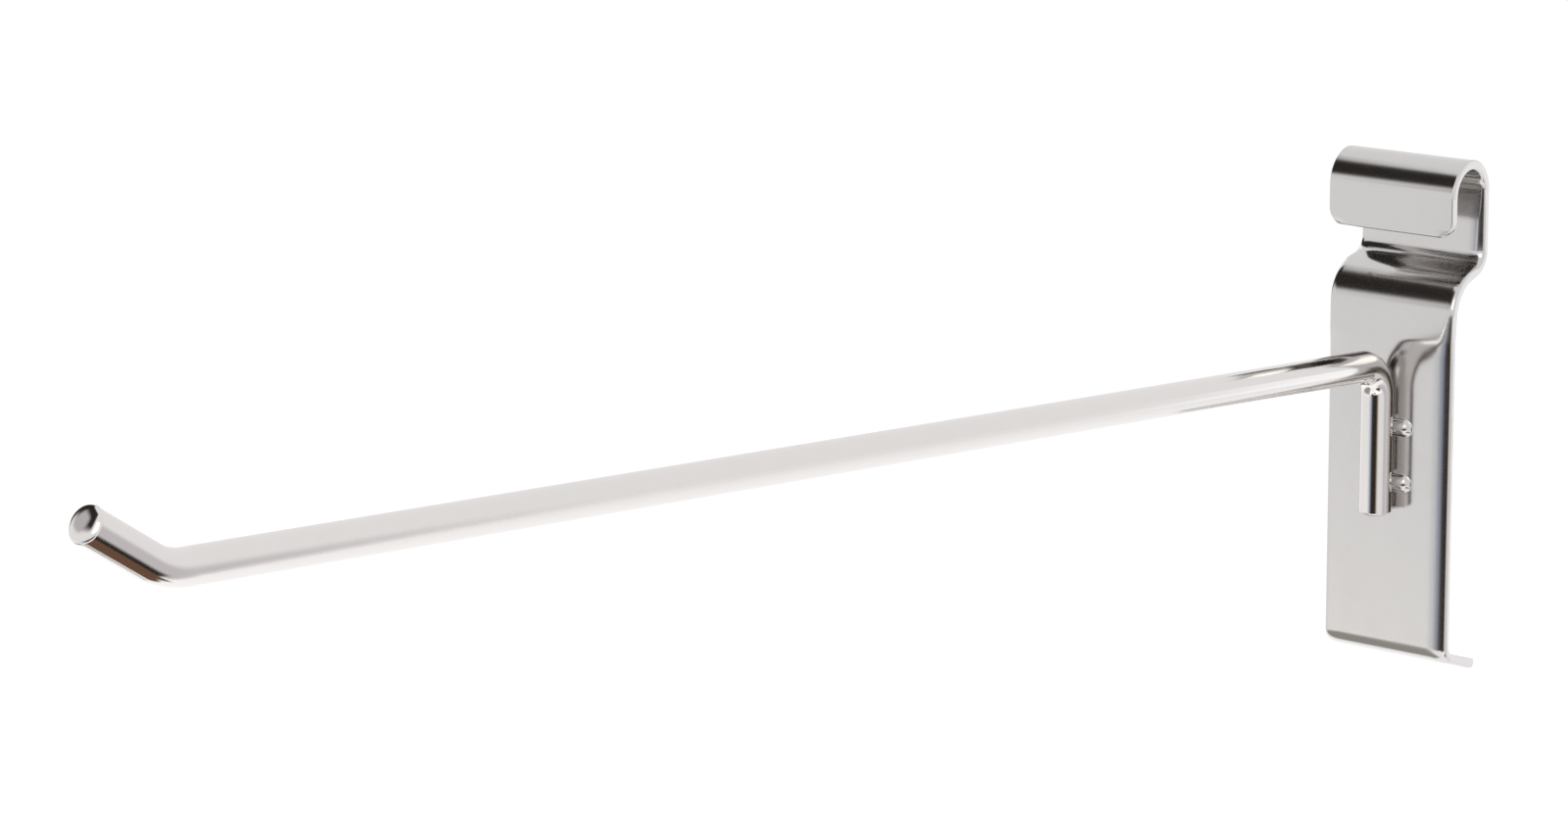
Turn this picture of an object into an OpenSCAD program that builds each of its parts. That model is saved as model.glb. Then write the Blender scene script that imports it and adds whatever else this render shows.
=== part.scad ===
// Gridwall hook: a folded steel plate that hangs on a grid panel, with a bent round rod welded to its front.
// The rod points towards -Y, the plate's width lies along X, and the height is along Z.
// The origin is the axis of the arch that drops over the panel's wire.

/* [Rod] */
// Diameter of the rod
rod_d = 5.5; // [4:0.1:7]
// Distance from the plate's front face to the end of the tip
arm_reach = 301.5; // [150:0.5:400]
// Slope of the arm above level, in degrees
arm_slope = 5.2; // [0:0.1:12]
// Slope of the upturned tip above level, in degrees
tip_slope = 34; // [20:0.5:60]
// Length of the straight part of the tip, with its bevel
tip_length = 12.8; // [6:0.1:40]
// Radius of the bend between leg and arm, at the middle of the rod
leg_bend_r = 5.8; // [4.5:0.1:12]
// Radius of the bend before the tip, at the middle of the rod
tip_bend_r = 14; // [6:0.5:20]
// Length of the straight part of the leg, with its bevel
leg_length = 21.3; // [18:0.5:40]
// Bevel on the two ends of the rod
rod_bevel = 0.7; // [0.2:0.1:1.2]

/* [Plate] */
// Width of the strip that the plate is folded from
plate_w = 24.5; // [18:0.5:40]
// Thickness of the strip
plate_t = 1.8; // [1.2:0.1:2.4]
// Height of the flat front that the leg is welded to
front_h = 53; // [45:0.5:90]
// Lean of the plate's top towards the back, in degrees
lean = 4.5; // [1:0.5:12]
// Radius of the soft bend into the lean, on the front face
lean_r = 15; // [5:1:30]
// Length of the leaning part
lean_run = 4.2; // [2:0.1:12]

/* [Shoulder] */
// Radius of the bend from the lean into the shoulder, on the front face
shoulder_r = 8; // [2.6:0.1:10]
// Rise of the shoulder towards the back, in degrees
shoulder_rise = 16; // [5:1:35]
// Length of the straight part of the shoulder
shoulder_run = 3.1; // [2:0.1:10]
// Radius of the fold between shoulder and back wall, on the front face
crease_r = 1; // [0.4:0.1:2]

/* [Arch] */
// Height of the flat back wall, between the fold and the arch
wall_h = 11.5; // [9:0.1:20]
// Clear width between flap and back wall
channel_w = 8.3; // [7:0.1:12]
// Height of the flat flap below the arch
flap_h = 6.8; // [4.5:0.1:9]
// Radius of the flap's two lower corners
flap_corner_r = 3; // [1:0.1:4]

/* [Lip] */
// Slope of the lip below level, in degrees
lip_slope = 19; // [0:1:30]
// Radius of the lip's bend, on the front face
lip_bend_r = 3.4; // [2.6:0.1:5]
// Length of the straight part of the lip
lip_run = 7.8; // [4:0.1:12]

/* [Weld ridges] */
// Width of a ridge, across the leg
ridge_w = 9.8; // [8:0.1:14]
// Height of a ridge, along the leg
ridge_h = 3; // [2:0.1:4]
// How far a ridge stands out of the plate
ridge_out = 1; // [0.6:0.1:1.2]
// Distance between the middles of the two ridges
ridge_pitch = 9.8; // [6:0.1:12]
// Height of the lower ridge's middle above the leg's lower end
ridge_up = 5.4; // [4:0.1:10]
// Depth of the dent behind each ridge
dent_depth = 0.8; // [0.2:0.1:1]
// Gap between the leg and the flat of the plate
leg_gap = 0.5; // [0.3:0.05:0.5]
// Height of the leg's lower end above the lip's bend
leg_up = 22.8; // [10:0.1:30]

/* [Hidden] */
$fn = 96;

rod_r = rod_d / 2;
arch_r = channel_w / 2;

// Where a fold or bend path stands after its first n stretches, as [y, z, heading].
// A stretch is [length, turn, radius]: a straight length, then a turn of that many degrees at that radius.
// The heading is 0 upwards, and a positive turn leads towards the back.
function side(heading) = [cos(heading), -sin(heading)];
function onward(at, length) = [at[0] + length * sin(at[2]), at[1] + length * cos(at[2]), at[2]];
function turned(at, turn, r) =
    let(to = at[2] + turn, step = sign(turn) * r * (side(at[2]) - side(to)))
    [at[0] + step[0], at[1] + step[1], to];
function after(path, n) =
    n == 0 ? [0, 0, 0] : turned(onward(after(path, n - 1), path[n - 1][0]), path[n - 1][1], path[n - 1][2]);

// The front of the plate and all above it, from the lip's bend to the top of the back wall
up_path = [
    [front_h, lean, lean_r],
    [lean_run, 90 - shoulder_rise - lean, shoulder_r],
    [shoulder_run, shoulder_rise - 90, crease_r],
    [wall_h, 0, 0],
];
// The lip, from its bend downwards
lip_path = [
    [0, 90 - lip_slope, lip_bend_r],
    [lip_run, 0, 0],
];
wall_top = after(up_path, len(up_path));
arch_axis = [wall_top[0] - arch_r, wall_top[1]];

// Where the strip stands at each straight length's end, and every few degrees through the bends
function bend_steps(turn) = turn == 0 ? 0 : ceil(abs(turn) * $fn / 360);
function stations(path) = [
    for (n = [0 : len(path) - 1])
        let(at = onward(after(path, n), path[n][0]), steps = bend_steps(path[n][1]))
            for (k = [0 : steps]) steps == 0 ? at : turned(at, path[n][1] * k / steps, path[n][2])
];
// The strip's outline at a depth behind its front face
function face_line(path, depth) = [
    for (at = stations(path)) [at[0], at[1]] + depth * side(at[2])
];
function down(points) = [for (p = points) [p[0], -p[1]]];
function reversed(points) = [for (i = [len(points) - 1 : -1 : 0]) points[i]];
strip_outline = concat(
    reversed(down(face_line(lip_path, 0))),
    face_line(up_path, 0),
    reversed(face_line(up_path, plate_t)),
    down(face_line(lip_path, plate_t))
);

// The rod's middle line, from the lower end of the leg to the end of the tip
rod_offset = leg_gap + rod_r;
bend_reach = leg_bend_r * (1 - sin(arm_slope)) + tip_bend_r * (sin(tip_slope) - sin(arm_slope));
arm_run = (arm_reach - rod_offset - bend_reach - tip_length * cos(tip_slope)) / cos(arm_slope);
rod_path = [
    [leg_length - rod_bevel, arm_slope - 90, leg_bend_r],
    [arm_run, tip_slope - arm_slope, tip_bend_r],
    [tip_length - rod_bevel, 0, 0],
];

// A ridge is a round bar that stands out of the front by ridge_out, so the bar's radius follows from its chord
ridge_r = (pow(ridge_h / 2, 2) + pow(ridge_out, 2)) / (2 * ridge_out);
ridge_heights = [leg_up + ridge_up, leg_up + ridge_up + ridge_pitch];
// How far a cutting body runs past what it cuts
cut = 0.5;
// How far a straight length runs into the bends beside it
lap = 0.01;

// Places something where a path stands after its first n stretches
module at_end(path, n, passed = 0) {
    if (passed == n)
        children();
    else {
        turn = path[passed][1];
        centre = sign(turn) * path[passed][2];
        translate([0, centre, path[passed][0]])
            rotate([-turn, 0, 0])
                translate([0, -centre, 0]) at_end(path, n, passed + 1) children();
    }
}

// Lays a flat section along a path. The section's y leads to the back of the part.
// Each straight length runs a hair into the bends beside it, so that the stretches are one body.
module along(path) {
    for (n = [0 : len(path) - 1]) {
        length = path[n][0];
        turn = path[n][1];
        r = path[n][2];
        way = sign(turn);
        before = n == 0 ? 0 : lap;
        beyond = turn == 0 ? 0 : lap;
        at_end(path, n) {
            if (length > 0)
                translate([0, 0, -before]) linear_extrude(height = before + length + beyond) children();
            if (turn != 0)
                translate([0, way * r, length])
                    rotate([90, 0, -way * 90])
                        rotate_extrude(angle = abs(turn))
                            translate([r, 0]) rotate(way * 90) mirror([1, 0]) children();
        }
    }
}

// What is left of a square corner outside its rounding, with the rounding's centre at the origin
module corner_waste(r) {
    difference() {
        square(r + cut);
        circle(r = r);
    }
}

module ridge_bar() {
    span = ridge_w - ridge_h;
    rotate([0, 90, 0]) cylinder(r = ridge_r, h = span, center = true);
    for (s = [-1, 1]) translate([s * span / 2, 0, 0]) sphere(r = ridge_r);
}

// The part of the bar that stands out of the front, down to the middle of the sheet
module ridge() {
    intersection() {
        translate([0, ridge_r - ridge_out, 0]) ridge_bar();
        translate([-ridge_w, plate_t / 2 - 2 * ridge_r, -ridge_h]) cube([2 * ridge_w, 2 * ridge_r, 2 * ridge_h]);
    }
}

// The dent that the punch leaves in the back, behind a ridge
module ridge_dent() {
    translate([0, plate_t + ridge_r - dent_depth, 0]) ridge_bar();
}

module flap_corner_cut() {
    translate([0, plate_t + cut, 0])
        rotate([90, 0, 0])
            linear_extrude(height = plate_t + 2 * cut) corner_waste(flap_corner_r);
}

module side_profile(width) {
    rotate([90, 0, 90]) linear_extrude(height = width, center = true) children();
}

// The arch over the panel's wire, as a half ring round the origin. It runs a hair down into wall and flap.
module arch() {
    side_profile(plate_w)
        difference() {
            circle(r = arch_r + plate_t);
            circle(r = arch_r);
            translate([-2 * channel_w, -4 * channel_w]) square(4 * channel_w);
        }
    for (y = [-arch_r - plate_t, arch_r])
        translate([-plate_w / 2, y, -lap]) cube([plate_w, plate_t, lap]);
}

module flap() {
    difference() {
        translate([-plate_w / 2, -arch_r - plate_t, -flap_h]) cube([plate_w, plate_t, flap_h]);
        for (s = [0, 1])
            mirror([s, 0, 0])
                translate([plate_w / 2 - flap_corner_r, -arch_r - plate_t, flap_corner_r - flap_h])
                    mirror([0, 0, 1]) flap_corner_cut();
    }
}

// Places something that is measured from the front face, at a height above the lip's bend
module on_front(z) {
    translate([0, -arch_axis[0], z - arch_axis[1]]) children();
}

module back_plate() {
    color("silver")
        difference() {
            union() {
                on_front(0) side_profile(plate_w) polygon(strip_outline);
                arch();
                flap();
                for (z = ridge_heights) on_front(z) ridge();
            }
            for (z = ridge_heights) on_front(z) ridge_dent();
            on_front(leg_up)
                translate([0, -rod_offset, 0]) cylinder(r = rod_r, h = ridge_up + ridge_pitch + ridge_h);
        }
}

// The bevel at an end of the rod, which starts a hair inside the straight length
module rod_end() {
    translate([0, 0, -lap]) cylinder(r = rod_r, h = lap);
    cylinder(r1 = rod_r, r2 = rod_r - rod_bevel, h = rod_bevel);
}

module wire_arm() {
    color("gainsboro")
        on_front(leg_up + rod_bevel)
            translate([0, -rod_offset, 0]) {
                along(rod_path) circle(r = rod_r);
                mirror([0, 0, 1]) rod_end();
                at_end(rod_path, len(rod_path)) rod_end();
            }
}

back_plate();
wire_arm();
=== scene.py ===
from math import ceil, cos, pi, radians, sin, sqrt, tan

import bmesh
import bpy
from mathutils import Matrix, Vector


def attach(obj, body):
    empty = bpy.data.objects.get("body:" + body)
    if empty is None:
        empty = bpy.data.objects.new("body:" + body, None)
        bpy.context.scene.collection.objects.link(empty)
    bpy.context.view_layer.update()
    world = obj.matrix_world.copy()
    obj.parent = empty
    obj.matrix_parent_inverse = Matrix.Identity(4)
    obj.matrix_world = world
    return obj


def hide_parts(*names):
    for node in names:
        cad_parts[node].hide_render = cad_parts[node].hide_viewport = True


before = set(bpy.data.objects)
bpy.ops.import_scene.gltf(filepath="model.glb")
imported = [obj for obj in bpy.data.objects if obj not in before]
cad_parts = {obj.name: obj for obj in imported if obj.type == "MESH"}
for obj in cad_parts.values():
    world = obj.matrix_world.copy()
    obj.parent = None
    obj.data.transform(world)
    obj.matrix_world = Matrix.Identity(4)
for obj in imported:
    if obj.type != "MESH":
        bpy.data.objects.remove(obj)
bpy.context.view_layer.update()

MM = 0.001

# Rod sizes, in millimetres and degrees, as in the part's source
ROD_R = 2.75
ARM_REACH = 301.5
ARM_SLOPE = 5.2
TIP_SLOPE = 34.0
TIP_LENGTH = 12.8
LEG_BEND_R = 5.8
TIP_BEND_R = 14.0
LEG_LENGTH = 21.3
ROD_BEVEL = 0.7

# Plate sizes, front face radii
PLATE_W = 24.5
PLATE_T = 1.8
FRONT_H = 53.0
LEAN = 4.5
LEAN_R = 15.0
LEAN_RUN = 4.2
SHOULDER_R = 8.0
SHOULDER_RISE = 16.0
SHOULDER_RUN = 3.1
CREASE_R = 1.0
WALL_H = 11.5
ARCH_R = 4.15
FLAP_H = 6.8
FLAP_CORNER_R = 3.0
LIP_SLOPE = 19.0
LIP_BEND_R = 3.4
LIP_RUN = 7.8
ROLL_WIDTH = 3.6
ROLL_DEPTH = 0.95
BACK_EDGE = 0.2
END_ROLL = 0.3
RIM_WIDTH = 2.3
RIM_DEPTH = 0.85
SOFT_CREASE_R = 2.4

# Weld ridges
RIDGE_W = 9.8
RIDGE_H = 3.0
RIDGE_OUT = 1.0
RIDGE_PITCH = 9.8
RIDGE_UP = 5.4
DENT_DEPTH = 0.8
LEG_GAP = 0.5
LEG_UP = 22.8


# Paths in the side view. A place is (y, z, heading in degrees): heading 0 is up, and a positive turn leads to the back.
def side(heading):
    return Vector((cos(radians(heading)), -sin(radians(heading))))


def onward(at, length):
    return at[0] + length * sin(radians(at[2])), at[1] + length * cos(radians(at[2])), at[2]


def turned(at, turn, radius):
    step = (1 if turn > 0 else -1) * radius * (side(at[2]) - side(at[2] + turn))
    return at[0] + step.x, at[1] + step.y, at[2] + turn


def path_end(at, path):
    for length, turn, radius in path:
        at = onward(at, length)
        if turn:
            at = turned(at, turn, radius)
    return at


LIP_TURN = 90 - LIP_SLOPE
CREASE_TURN = 90 - SHOULDER_RISE
soft_take = (SOFT_CREASE_R - CREASE_R) * tan(radians(CREASE_TURN / 2))  # what the softer crease takes of its neighbours
STRIP_PATH = [
    (LIP_RUN, LIP_TURN, LIP_BEND_R),
    (FRONT_H, LEAN, LEAN_R),
    (LEAN_RUN, 90 - SHOULDER_RISE - LEAN, SHOULDER_R),
    (SHOULDER_RUN - soft_take, -CREASE_TURN, SOFT_CREASE_R),
    (WALL_H - soft_take, -180, ARCH_R),
    (FLAP_H, 0, 0),
]
wall_top = onward(path_end((0, 0, 0), STRIP_PATH[1:4]), STRIP_PATH[4][0])
ARCH_AXIS = Vector((wall_top[0] - ARCH_R, wall_top[1]))
lip_end = path_end((0, 0, -LIP_TURN), STRIP_PATH[:1])
STRIP_START = (-lip_end[0] - ARCH_AXIS.x, -lip_end[1] - ARCH_AXIS.y, -LIP_TURN)


def place_on(path, start, s):
    """The place at a length s along a path."""
    at = start
    for length, turn, radius in path:
        if s <= length:
            return onward(at, s)
        at = onward(at, length)
        s -= length
        if turn:
            arc = radians(abs(turn)) * radius
            if s <= arc:
                return turned(at, turn * s / arc, radius) if s > 0 else at
            at = turned(at, turn, radius)
            s -= arc
    return onward(at, s)


def path_length(path):
    return sum(length + radians(abs(turn)) * radius for length, turn, radius in path)


def even_steps(start, end, step):
    """Even places from start to end, about a step apart."""
    count = max(1, ceil(abs(end - start) / step - 1e-6))
    return [start + (end - start) * k / count for k in range(count + 1)]


def new_object(name, bm, smooth_angle=40):
    mesh = bpy.data.meshes.new(name)
    bm.to_mesh(mesh)
    bm.free()
    for poly in mesh.polygons:
        poly.use_smooth = True
    mesh.set_sharp_from_angle(angle=radians(smooth_angle))
    obj = bpy.data.objects.new(name, mesh)
    bpy.context.scene.collection.objects.link(obj)
    return obj


def weighted_normals(obj):
    mod = obj.modifiers.new("even_normals", "WEIGHTED_NORMAL")
    mod.keep_sharp = True
    mod.weight = 60


# ---------------------------------------------------------------- folded plate
FLAT_HALF = PLATE_W / 2 - ROLL_WIDTH
RIDGE_EDGE = RIDGE_W / 2 + 0.8
STRIP_COLUMNS = even_steps(-FLAT_HALF, -RIDGE_EDGE, 0.5) + even_steps(-RIDGE_EDGE, RIDGE_EDGE, 0.16)[1:]
STRIP_COLUMNS = STRIP_COLUMNS + even_steps(RIDGE_EDGE, FLAT_HALF, 0.5)[1:]


def strip_section(bm):
    """The strip's cross section, with front edges rolled by the punch: x across, y deep, in the flat."""
    half = PLATE_W / 2
    corners = [bm.verts.new(Vector(p)) for p in ((-half, 0, 0), (half, 0, 0), (half, PLATE_T, 0), (-half, PLATE_T, 0))]
    bm.faces.new(corners)
    front, back = corners[:2], corners[2:]
    bmesh.ops.bevel(bm, geom=back, offset=BACK_EDGE, segments=3, profile=0.5, affect="VERTICES", material=-1)
    rolled = bmesh.ops.bevel(bm, geom=front, offset=ROLL_DEPTH, segments=14, profile=0.5, affect="VERTICES", material=-1)
    for way in (-1, 1):
        corner = [v for v in bm.verts if v.co.x * way > half - ROLL_DEPTH - 1e-6 and v.co.y < ROLL_DEPTH + 1e-6]
        bmesh.ops.scale(
            bm, vec=(ROLL_WIDTH / ROLL_DEPTH, 1, 1), space=Matrix.Translation((-way * half, 0, 0)), verts=corner
        )
    for v in bm.verts:
        v.tag = False
    for place in STRIP_COLUMNS:
        near = bm.verts[:] + bm.edges[:] + bm.faces[:]
        bmesh.ops.bisect_plane(bm, geom=near, plane_co=(place, 0, 0), plane_no=(1, 0, 0), dist=1e-6)
    bmesh.ops.delete(bm, geom=bm.faces[:], context="FACES_ONLY")
    inner = [e for e in bm.edges if abs(e.verts[0].co.y - e.verts[1].co.y) > PLATE_T / 2]
    bmesh.ops.delete(bm, geom=inner, context="EDGES")
    return list(bm.edges)


def rows_to(rows, end, step):
    """Adds even rows from the last one to a length, about a step apart."""
    rows.extend(even_steps(rows[-1], end, step)[1:])


RIDGE_LINES = [LEG_UP + RIDGE_UP, LEG_UP + RIDGE_UP + RIDGE_PITCH]


def strip_rows():
    rows = [0.0]
    s = 0.0
    for n, (length, turn, radius) in enumerate(STRIP_PATH):
        if n == 0:
            rows_to(rows, END_ROLL, 0.1)
        if n == 1:
            for line in RIDGE_LINES:
                rows_to(rows, s + line - RIDGE_H, 1)
                rows_to(rows, s + line + RIDGE_H, 0.14)
        if n == len(STRIP_PATH) - 1:
            rows_to(rows, s + length - FLAP_CORNER_R, 1)
            for k in range(1, 25):
                rows.append(s + length - FLAP_CORNER_R * (1 - sin(k / 24 * pi / 2)))
            break
        rows_to(rows, s + length, 2)
        s += length
        if turn:
            arc = radians(abs(turn)) * radius
            rows_to(rows, s + arc, min(radians(3) * radius, 0.5))
            s += arc
    return rows


def ridge_height(x, along):
    """How far the plate is pushed out at a point, by both ridges."""
    radius = (pow(RIDGE_H / 2, 2) + pow(RIDGE_OUT, 2)) / (2 * RIDGE_OUT)
    reach = RIDGE_H / 2
    span = (RIDGE_W - RIDGE_H) / 2
    best = 0
    for line in RIDGE_LINES:
        d = Vector((max(abs(x) - span, 0), along - line)).length
        foot = reach / (radius - RIDGE_OUT)
        top = sqrt(radius**2 - min(d, reach) ** 2) - (radius - RIDGE_OUT) - foot * max(d - reach, 0)
        fillet = 0.16
        best = max(best, (top + sqrt(top * top + fillet * fillet)) / 2 - 0.01)
    if abs(x) < ROD_R:
        best = min(best, LEG_GAP + ROD_R - sqrt(ROD_R**2 - x * x))
    return best


def stretch_ends():
    """Length along the strip at the end of each straight and each bend."""
    ends, s = [], 0
    for length, turn, radius in STRIP_PATH:
        ends += [s + length, s + length + radians(abs(turn)) * radius]
        s = ends[-1]
    return ends


LIP_TOP, FRONT_FOOT, FRONT_TOP, _, LEAN_TOP, SHOULDER_END, _, WALL_FOOT, WALL_TOP, ARCH_END = stretch_ends()[:10]
# How strongly the edge is rolled: the press leaves less of it on the bends that turn outwards
ROLL_SHARE = [
    (0, 0.4), (LIP_TOP, 0.6), (FRONT_FOOT, 1), (FRONT_TOP - 2, 1), (LEAN_TOP + 1, 0.35), (SHOULDER_END, 0.35),
    (WALL_FOOT, 0.9), (WALL_TOP - 3, 0.8), (WALL_TOP + 3, 0.3), (ARCH_END + FLAP_H, 0.3),
]


def share_at(s):
    for (s0, k0), (s1, k1) in zip(ROLL_SHARE, ROLL_SHARE[1:]):
        if s <= s1:
            return k0 + (k1 - k0) * (s - s0) / (s1 - s0)
    return ROLL_SHARE[-1][1]


def fold_strip():
    bm = bmesh.new()
    loop = strip_section(bm)
    rows = strip_rows()
    for a, b in zip(rows, rows[1:]):
        out = bmesh.ops.extrude_edge_only(bm, edges=loop)["geom"]
        verts = [g for g in out if isinstance(g, bmesh.types.BMVert)]
        inside = set(verts)
        bmesh.ops.translate(bm, verts=verts, vec=(0, 0, b - a))
        loop = [g for g in out if isinstance(g, bmesh.types.BMEdge) and g.verts[0] in inside and g.verts[1] in inside]
    bmesh.ops.edgeloop_fill(bm, edges=loop)
    total = rows[-1]
    front_start = LIP_RUN + radians(LIP_TURN) * LIP_BEND_R
    half = PLATE_W / 2
    for v in bm.verts:
        x, depth, s = v.co
        left = total - s
        if abs(x) > FLAT_HALF + 1e-6 and depth < ROLL_DEPTH + 1e-6:
            share = share_at(s)
            x = v.co.x = (1 if x > 0 else -1) * (half - (half - abs(x)) * share)
            depth = v.co.y = depth * share
        if left < FLAP_CORNER_R:
            inner = half - FLAP_CORNER_R
            keep = sqrt(max(0, 1 - (1 - left / FLAP_CORNER_R) ** 2))
            if abs(x) > inner:
                v.co.x = (1 if x > 0 else -1) * (inner + (abs(x) - inner) * keep)
        for gone, deep, inner, outer in ((left, 0.45, 0.5, 1), (s, 0.35, 1, 0.5)):
            if gone < END_ROLL:
                u = min(1, 1 - gone / END_ROLL)
                pull = deep * (1 - sqrt(1 - u * u))
                v.co.y += pull * (inner * (1 - depth / PLATE_T) - outer * depth / PLATE_T)
        if depth < 0.001:
            v.co.y -= ridge_height(x, s - front_start)
        elif depth > PLATE_T - 0.001 and abs(x) < half - 1:
            v.co.y -= min(DENT_DEPTH, 0.8 * ridge_height(x * 1.0, s - front_start) if abs(x) > ROD_R else 0.8 * min(DENT_DEPTH, free_ridge(x, s - front_start)))
    for v in bm.verts:
        x, depth, s = v.co
        y, z, heading = place_on(STRIP_PATH, STRIP_START, s)
        out = side(heading) * depth
        v.co = Vector((x, y + out.x, z + out.y)) * MM
    bmesh.ops.remove_doubles(bm, verts=bm.verts, dist=0.000001)
    bmesh.ops.recalc_face_normals(bm, faces=bm.faces)
    return new_object("folded_plate", bm, 75)


def free_ridge(x, along):
    radius = (pow(RIDGE_H / 2, 2) + pow(RIDGE_OUT, 2)) / (2 * RIDGE_OUT)
    best = 0
    for line in RIDGE_LINES:
        d = Vector((max(abs(x) - (RIDGE_W - RIDGE_H) / 2, 0), along - line)).length
        if d < RIDGE_H / 2:
            best = max(best, sqrt(radius**2 - d * d) - (radius - RIDGE_OUT))
    return best


# ---------------------------------------------------------------- rod
ROD_OFFSET = LEG_GAP + ROD_R
bend_reach = LEG_BEND_R * (1 - sin(radians(ARM_SLOPE))) + TIP_BEND_R * (sin(radians(TIP_SLOPE)) - sin(radians(ARM_SLOPE)))
ARM_RUN = (ARM_REACH - ROD_OFFSET - bend_reach - TIP_LENGTH * cos(radians(TIP_SLOPE))) / cos(radians(ARM_SLOPE))
ROD_PATH = [
    (LEG_LENGTH - RIM_DEPTH, ARM_SLOPE - 90, LEG_BEND_R),
    (ARM_RUN, TIP_SLOPE - ARM_SLOPE, TIP_BEND_R),
    (TIP_LENGTH - RIM_DEPTH, 0, 0),
]
ROD_START = (-ROD_OFFSET - ARCH_AXIS.x, LEG_UP - ARCH_AXIS.y, 0)
ROD_SIDES = 64


def round_end(bm, loop, at):
    """Closes an end of the rod with a rim that rolls over into a nearly flat face."""
    steps = 12
    out_way = Vector((0, sin(radians(at[2])), cos(radians(at[2]))))
    centre = Vector((0, at[0], at[1]))
    size, gone = ROD_R, 0.0
    for k in range(1, steps + 1):
        t = k / steps * pi / 2
        out = bmesh.ops.extrude_edge_only(bm, edges=loop)["geom"]
        ring = [g for g in out if isinstance(g, bmesh.types.BMVert)]
        inside = set(ring)
        loop = [g for g in out if isinstance(g, bmesh.types.BMEdge) and g.verts[0] in inside and g.verts[1] in inside]
        new_size, new_gone = ROD_R - RIM_WIDTH * (1 - cos(t)), RIM_DEPTH * sin(t)
        bmesh.ops.scale(bm, vec=[new_size / size] * 3, space=Matrix.Translation(-(centre + out_way * gone)), verts=ring)
        bmesh.ops.translate(bm, verts=ring, vec=out_way * (new_gone - gone))
        size, gone = new_size, new_gone
    bmesh.ops.edgeloop_fill(bm, edges=loop)


def bend_rod():
    bm = bmesh.new()
    bmesh.ops.create_circle(bm, segments=ROD_SIDES, radius=ROD_R)
    bmesh.ops.translate(bm, verts=bm.verts, vec=(0, ROD_START[0], ROD_START[1] + RIM_DEPTH))
    rim = list(bm.edges)
    loop = list(bm.edges)
    at = (ROD_START[0], ROD_START[1] + RIM_DEPTH, 0)
    for length, turn, radius in ROD_PATH:
        there = onward(at, length)
        out = bmesh.ops.extrude_edge_only(bm, edges=loop)["geom"]
        verts = [g for g in out if isinstance(g, bmesh.types.BMVert)]
        inside = set(verts)
        bmesh.ops.translate(bm, verts=verts, vec=(0, there[0] - at[0], there[1] - at[1]))
        loop = [g for g in out if isinstance(g, bmesh.types.BMEdge) and g.verts[0] in inside and g.verts[1] in inside]
        at = there
        if turn:
            way = 1 if turn > 0 else -1
            centre = Vector((at[0], at[1])) + way * radius * side(at[2])
            out = bmesh.ops.spin(
                bm, geom=loop, cent=(0, centre.x, centre.y), axis=(-1, 0, 0), angle=radians(turn),
                steps=ceil(abs(turn) / 3), use_duplicate=False,
            )["geom_last"]
            loop = [g for g in out if isinstance(g, bmesh.types.BMEdge)]
            at = turned(at, turn, radius)
    round_end(bm, loop, at)
    round_end(bm, rim, (ROD_START[0], ROD_START[1] + RIM_DEPTH, 180))
    for v in bm.verts:
        v.co *= MM
    bmesh.ops.recalc_face_normals(bm, faces=bm.faces)
    return new_object("bent_rod", bm, 35)


# ---------------------------------------------------------------- chrome
def chrome(name, colour, smooth, rough, grain):
    mat = bpy.data.materials.new(name)
    mat.use_nodes = True
    nodes, links = mat.node_tree.nodes, mat.node_tree.links
    shader = nodes["Principled BSDF"]
    shader.inputs["Metallic"].default_value = 1.0
    where = nodes.new("ShaderNodeTexCoord")
    clouds = nodes.new("ShaderNodeTexNoise")
    clouds.inputs["Scale"].default_value = 260
    clouds.inputs["Detail"].default_value = 4
    links.new(where.outputs["Object"], clouds.inputs["Vector"])
    tint = nodes.new("ShaderNodeMix")
    tint.data_type = "RGBA"
    tint.inputs["A"].default_value = (*colour, 1)
    tint.inputs["B"].default_value = (*[c * 0.965 for c in colour], 1)
    links.new(clouds.outputs["Fac"], tint.inputs["Factor"])
    links.new(tint.outputs["Result"], shader.inputs["Base Color"])
    spread = nodes.new("ShaderNodeMapRange")
    spread.inputs["To Min"].default_value = smooth
    spread.inputs["To Max"].default_value = rough
    links.new(clouds.outputs["Fac"], spread.inputs["Value"])
    links.new(spread.outputs["Result"], shader.inputs["Roughness"])
    waves = nodes.new("ShaderNodeTexNoise")
    waves.inputs["Scale"].default_value = 35
    waves.inputs["Detail"].default_value = 2
    links.new(where.outputs["Object"], waves.inputs["Vector"])
    bump = nodes.new("ShaderNodeBump")
    bump.inputs["Strength"].default_value = 1.0
    bump.inputs["Distance"].default_value = grain
    links.new(waves.outputs["Fac"], bump.inputs["Height"])
    links.new(bump.outputs["Normal"], shader.inputs["Normal"])
    return mat


plate = fold_strip()
weighted_normals(plate)
rod = bend_rod()
weighted_normals(rod)
plate.data.materials.append(chrome("plated_sheet", (0.607, 0.591, 0.582), 0.13, 0.17, 0.00001))
rod.data.materials.append(chrome("plated_wire", (0.73, 0.707, 0.695), 0.08, 0.11, 0.00001))
for piece, node in ((plate, "back_plate"), (rod, "wire_arm")):
    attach(piece, "root")
    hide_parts(node)
    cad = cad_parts[node]
    cad.data.materials.clear()
    cad.data.materials.append(piece.data.materials[0])


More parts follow.
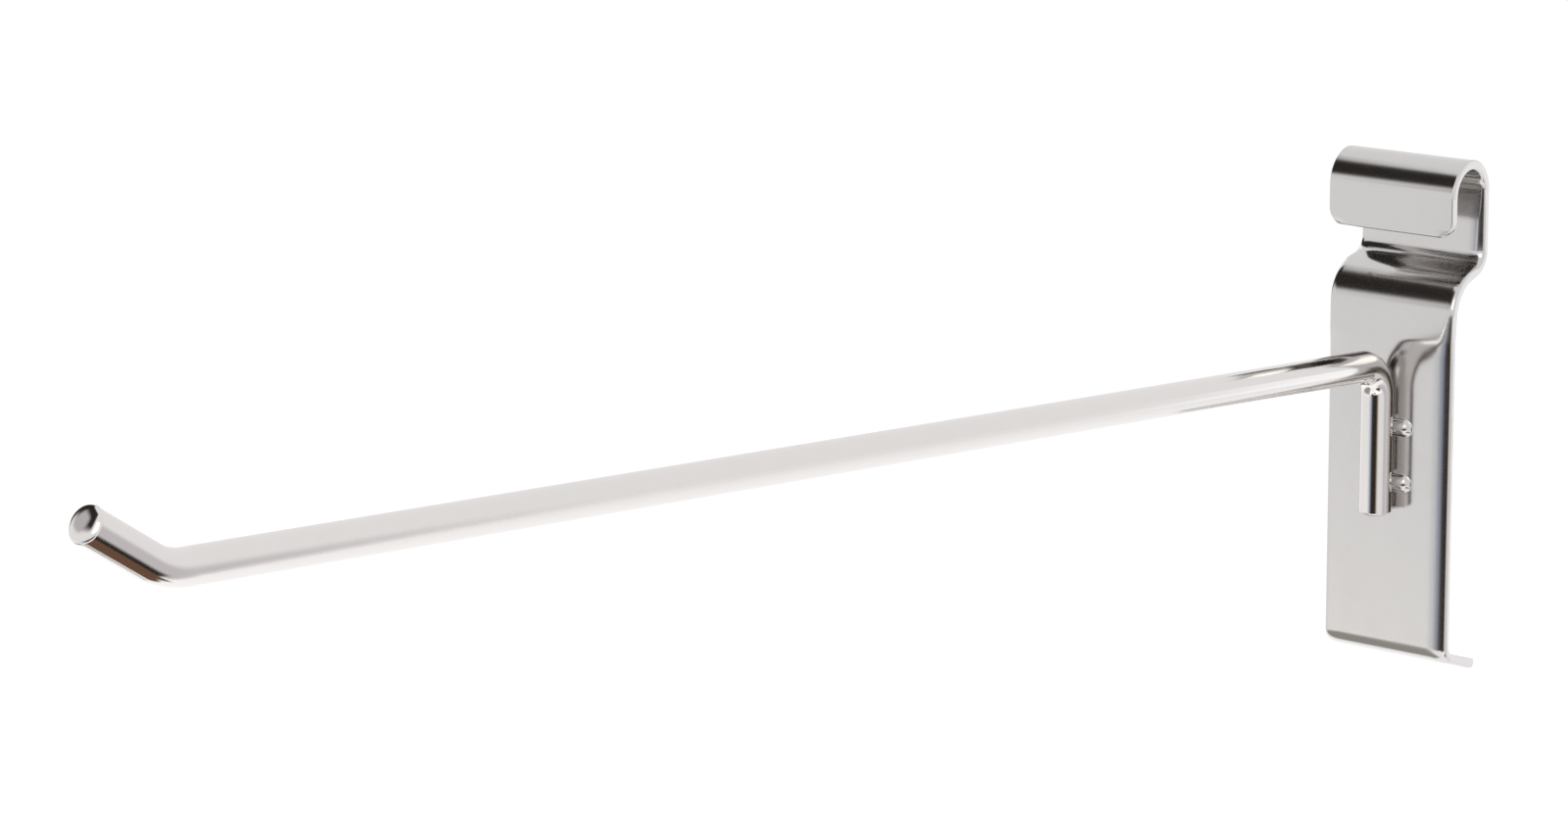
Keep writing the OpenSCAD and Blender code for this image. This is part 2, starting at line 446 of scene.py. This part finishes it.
# ---------------------------------------------------------------- studio
def soft_glow(name, across, fade_low, fade_high):
    """Light of a studio card: a run of (place, colour, cover) from its left to its right, faded at its lower and upper edge."""
    mat = bpy.data.materials.new(name)
    mat.use_nodes = True
    nodes, links = mat.node_tree.nodes, mat.node_tree.links
    nodes.clear()
    where = nodes.new("ShaderNodeTexCoord")
    split = nodes.new("ShaderNodeSeparateXYZ")
    links.new(where.outputs["UV"], split.inputs["Vector"])
    ramp = nodes.new("ShaderNodeValToRGB")
    ramp.color_ramp.interpolation = "EASE"
    marks = ramp.color_ramp.elements
    while len(marks) < len(across):
        marks.new(0.5)
    for mark, (place, colour, cover) in zip(marks, across):
        mark.position = place
        mark.color = (*colour, cover)
    links.new(split.outputs["X"], ramp.inputs["Fac"])
    cover = ramp.outputs["Alpha"]
    for edge, inner in ((0.0, fade_low), (1.0, 1.0 - fade_high)):
        fade = nodes.new("ShaderNodeMapRange")
        fade.interpolation_type = "SMOOTHSTEP"
        fade.inputs["From Min"].default_value = edge
        fade.inputs["From Max"].default_value = inner
        links.new(split.outputs["Y"], fade.inputs["Value"])
        both = nodes.new("ShaderNodeMath")
        both.operation = "MULTIPLY"
        links.new(cover, both.inputs[0])
        links.new(fade.outputs["Result"], both.inputs[1])
        cover = both.outputs["Value"]
    glow = nodes.new("ShaderNodeEmission")
    links.new(ramp.outputs["Color"], glow.inputs["Color"])
    clear = nodes.new("ShaderNodeBsdfTransparent")
    mix = nodes.new("ShaderNodeMixShader")
    links.new(cover, mix.inputs["Fac"])
    links.new(clear.outputs["BSDF"], mix.inputs[1])
    links.new(glow.outputs["Emission"], mix.inputs[2])
    out = nodes.new("ShaderNodeOutputMaterial")
    links.new(mix.outputs["Shader"], out.inputs["Surface"])
    return mat


def aim(azimuth, elevation):
    """Unit vector towards a place in the studio: azimuth 0 is in front, 90 to the right, 180 behind."""
    a, e = radians(azimuth), radians(elevation)
    return Vector((sin(a) * cos(e), -cos(a) * cos(e), sin(e)))


def card(name, spot, azimuths, elevations, distance, across, fade_low=0.2, fade_high=0.2):
    """A curved card around a spot of the hook, between two azimuths and two elevations, seen only in the metal."""
    bm = bmesh.new()
    bm.loops.layers.uv.new("card")
    bmesh.ops.create_grid(bm, x_segments=24, y_segments=24, size=0.5, calc_uvs=True)
    for v in bm.verts:
        azimuth = azimuths[0] + (azimuths[1] - azimuths[0]) * (v.co.x + 0.5)
        elevation = elevations[0] + (elevations[1] - elevations[0]) * (v.co.y + 0.5)
        v.co = spot + aim(azimuth, elevation) * distance
    obj = new_object(name, bm)
    obj.data.materials.append(soft_glow(name, across, fade_low, fade_high))
    obj.visible_camera = obj.visible_shadow = obj.visible_diffuse = False


def even(colour, edge=0.15):
    """One colour from side to side, faded at both ends."""
    return [(0.0, colour, 0.0), (edge, colour, 1.0), (1.0 - edge, colour, 1.0), (1.0, colour, 0.0)]


HOOK_SPOT = Vector((0, -0.003, -0.030))
TIP_SPOT = Vector((0, -0.300, 0.003))
DARK = (0.03, 0.025, 0.022)
BROWN = (0.17, 0.09, 0.055)
OLIVE = (0.40, 0.385, 0.35)
LIGHT = (0.97, 0.965, 0.96)
BRIGHT = (1.45, 1.44, 1.42)

card("right_sheet", HOOK_SPOT, (8, 132), (-50, 78), 1.2, even(LIGHT, 0.12))
card("left_sheet", TIP_SPOT, (-160, -118), (-60, 14), 1.1, even((1.35, 1.35, 1.35), 0.3))
card("camera_side", HOOK_SPOT, (-32, 52), (-29, -2), 1.0, [
    (0.0, (0.36, 0.42, 0.5), 0.0), (0.12, (0.34, 0.40, 0.5), 0.25), (0.26, (0.14, 0.19, 0.30), 0.7), (0.38, (0.03, 0.04, 0.07), 0.97),
    (0.48, DARK, 1.0), (0.71, (0.035, 0.027, 0.018), 1.0), (0.79, (0.16, 0.10, 0.06), 0.9), (0.87, (0.5, 0.38, 0.25), 0.5), (0.98, (1, 0.9, 0.8), 0.0),
], 0.1, 0.25)
card("upper_flag", HOOK_SPOT, (-100, -6), (17, 60), 1.0, even(DARK, 0.1), 0.28, 0.14)
card("lamp_glint", HOOK_SPOT, (-4, 34), (12, 42), 0.9, even((2.5, 2.48, 2.4), 0.25), 0.25, 0.25)
card("tip_grey", TIP_SPOT, (-82, -36), (12, 48), 0.25, even((0.6, 0.58, 0.585), 0.35), 0.35, 0.3)
card("left_flag", HOOK_SPOT, (-100, -64), (2, 30), 0.95, even(DARK, 0.25), 0.3, 0.2)
card("upper_white", HOOK_SPOT, (-128, -94), (16, 42), 1.05, even(BRIGHT, 0.2), 0.2, 0.2)
card("right_end_white", HOOK_SPOT, (142, 164), (-26, 6), 0.9, even((1.3, 1.31, 1.33), 0.2), 0.2, 0.2)
card("low_right", HOOK_SPOT, (-6, 84), (-62, -27), 1.1, even(BRIGHT, 0.2), 0.2, 0.2)
card("low_front", HOOK_SPOT, (-78, -14), (-32, -13), 1.1, even((1.25, 1.24, 1.22), 0.25), 0.2, 0.5)
card("low_middle", HOOK_SPOT, (-30, 30), (-78, -46), 1.0, even((1.25, 1.24, 1.22), 0.2), 0.2, 0.2)
card("low_left", HOOK_SPOT, (-90, -26), (-72, -19), 1.0, [(0.0, OLIVE, 0.0), (0.15, OLIVE, 1.0), (0.8, OLIVE, 1.0), (1.0, OLIVE, 0.5)], 0.1, 0.3)
card("right_grey", TIP_SPOT, (106, 146), (-64, 14), 0.6, even((0.69, 0.66, 0.675), 0.35), 0.15, 0.4)
card("right_dark", TIP_SPOT, (96, 133), (-70, -38), 0.5, even(DARK, 0.2), 0.1, 0.45)
card("brown_low", TIP_SPOT, (-180, 180), (-90, -70), 0.2, [(0.0, BROWN, 1.0), (1.0, BROWN, 1.0)], 0.01, 0.25)
card("brown_side", TIP_SPOT, (88, 165), (-76, -60), 0.24, even(BROWN, 0.25), 0.1, 0.3)

def seen_rays(nodes, links):
    """1 for what the camera sees directly, in the metal or through it, and 0 for the light on things."""
    paths = nodes.new("ShaderNodeLightPath")
    ray = paths.outputs["Is Camera Ray"]
    for kind in ("Is Glossy Ray", "Is Transmission Ray"):
        either = nodes.new("ShaderNodeMath")
        either.operation = "MAXIMUM"
        links.new(ray, either.inputs[0])
        links.new(paths.outputs[kind], either.inputs[1])
        ray = either.outputs["Value"]
    return ray


world = bpy.data.worlds.new("studio")
bpy.context.scene.world = world
world.use_nodes = True
wn, wl = world.node_tree.nodes, world.node_tree.links
wn.clear()
light = wn.new("ShaderNodeBackground")
light.inputs["Color"].default_value = (1, 1, 1, 1)
light.inputs["Strength"].default_value = 0.7
white = wn.new("ShaderNodeBackground")
white.inputs["Color"].default_value = (1, 1, 1, 1)
white.inputs["Strength"].default_value = 1.0
blend = wn.new("ShaderNodeMixShader")
wl.new(seen_rays(wn, wl), blend.inputs["Fac"])
wl.new(light.outputs["Background"], blend.inputs[1])
wl.new(white.outputs["Background"], blend.inputs[2])
wout = wn.new("ShaderNodeOutputWorld")
wl.new(blend.outputs["Shader"], wout.inputs["Surface"])



def pale_floor():
    """A large plain floor, white to the camera and in the metal, which still takes the shadows."""
    bm = bmesh.new()
    bmesh.ops.create_grid(bm, x_segments=8, y_segments=8, size=15)
    bmesh.ops.translate(bm, verts=bm.verts, vec=(0, 0, FLOOR_Z))
    obj = new_object("floor", bm)
    mat = bpy.data.materials.new("pale_floor")
    mat.use_nodes = True
    nodes, links = mat.node_tree.nodes, mat.node_tree.links
    nodes.clear()
    paint = nodes.new("ShaderNodeBsdfDiffuse")
    paint.inputs["Color"].default_value = (0.9, 0.9, 0.9, 1)
    lift = nodes.new("ShaderNodeEmission")
    lift.inputs["Color"].default_value = (0.385, 0.385, 0.385, 1)
    total = nodes.new("ShaderNodeAddShader")
    links.new(paint.outputs["BSDF"], total.inputs[0])
    links.new(lift.outputs["Emission"], total.inputs[1])
    mix = nodes.new("ShaderNodeMixShader")
    links.new(seen_rays(nodes, links), mix.inputs["Fac"])
    links.new(paint.outputs["BSDF"], mix.inputs[1])
    links.new(total.outputs["Shader"], mix.inputs[2])
    out = nodes.new("ShaderNodeOutputMaterial")
    links.new(mix.outputs["Shader"], out.inputs["Surface"])
    obj.data.materials.append(mat)


def lamp(name, azimuth, elevation, distance, size, watts):
    """A large soft lamp that looks at the hook."""
    data = bpy.data.lights.new(name, "AREA")
    data.shape = "DISK"
    data.size = size
    data.energy = watts
    obj = bpy.data.objects.new(name, data)
    way = aim(azimuth, elevation)
    obj.matrix_world = Matrix.Translation(HOOK_SPOT + way * distance) @ way.to_track_quat("Z", "Y").to_matrix().to_4x4()
    obj.visible_glossy = False
    bpy.context.scene.collection.objects.link(obj)


FLOOR_Z = -1.0
pale_floor()
lamp("key_lamp", -35, 55, 1.6, 1.2, 14)
lamp("fill_lamp", 60, 40, 1.8, 1.2, 8)

# ---------------------------------------------------------------- camera
CAM_AZ, CAM_EL, CAM_ROLL = 39.0, 13.4386, -0.55584
FOCAL_PX = 4959.235
IMAGE_W = 1600
SENSOR = 36.0
CAM_AT = Vector((103.4249, -8.4833, 832.1703))  # the fitted origin seen from the camera: right, down, ahead
FIT_ORIGIN = Vector((0, -ARCH_AXIS.x, 49.5 - ARCH_AXIS.y))

a, e, w = radians(CAM_AZ), radians(CAM_EL), radians(CAM_ROLL)
ahead = Vector((-sin(a) * cos(e), cos(a) * cos(e), -sin(e)))
right = Vector((cos(a), sin(a), 0))
down = -right.cross(ahead)
turn = Matrix(((cos(w), -sin(w), 0), (sin(w), cos(w), 0), (0, 0, 1)))
axes = turn @ Matrix((right, down, ahead))
place = FIT_ORIGIN - axes.transposed() @ CAM_AT
camera_data = bpy.data.cameras.new("camera")
camera_data.sensor_width = SENSOR
camera_data.lens = FOCAL_PX * SENSOR / IMAGE_W
camera_data.clip_start = 0.01
camera = bpy.data.objects.new("camera", camera_data)
rotation = Matrix((axes[0], -Vector(axes[1]), -Vector(axes[2]))).transposed()
camera.matrix_world = Matrix.Translation(place * MM) @ rotation.to_4x4()
bpy.context.scene.collection.objects.link(camera)
bpy.context.scene.camera = camera
bpy.context.scene.view_settings.view_transform = "Standard"
